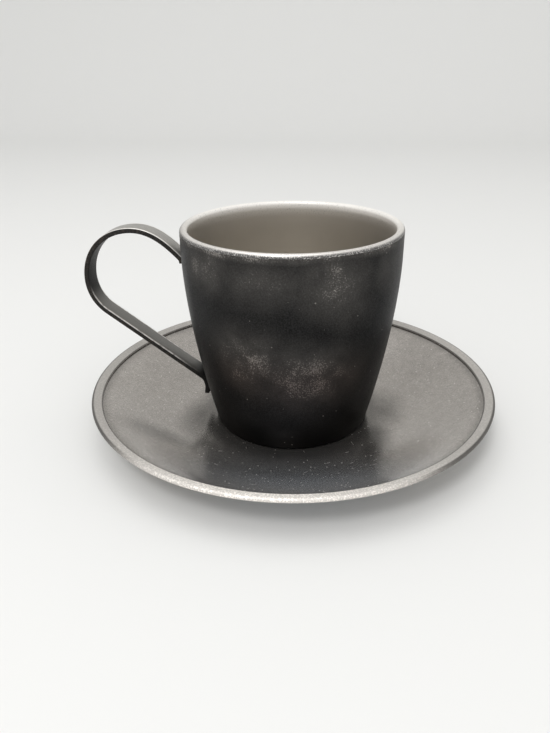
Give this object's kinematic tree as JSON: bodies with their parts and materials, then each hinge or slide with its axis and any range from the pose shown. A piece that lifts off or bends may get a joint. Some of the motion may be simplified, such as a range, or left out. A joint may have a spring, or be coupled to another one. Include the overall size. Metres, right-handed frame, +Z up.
{
  "type": "cup and saucer",
  "caption": "Steel coffee cup with an air gap between its shell and its liner, a bent strap handle, and a pressed saucer with a folded rim that it stands on.",
  "frame": {"origin": "middle of the flat underside of the saucer, on the surface that it stands on", "axes": "+Z up along the axis of the cup and the saucer, the handle points along -X, and the part is the same on both sides of the XZ plane"},
  "size_m": [0.1515, 0.15, 0.0748],
  "materials": {
    "saucer_steel": "satin, aged, finely pitted",
    "shell_steel": "dark, aged, pitted, worn bright in patches",
    "liner_steel": "smooth satin",
    "handle_steel": "brushed along its length, worn bright on its edges"
  },
  "bodies": {
    "saucer": {"saucer": "saucer_steel"},
    "cup": {"outer_shell": "shell_steel", "inner_liner": "liner_steel", "base_plate": "shell_steel", "handle": "handle_steel"}
  },
  "joints": [
    {"name": "cup_lift", "type": "slide", "parent": "saucer", "child": "cup", "axis": [0, 0, 1], "range_m": [0, 0.1]}
  ]
}
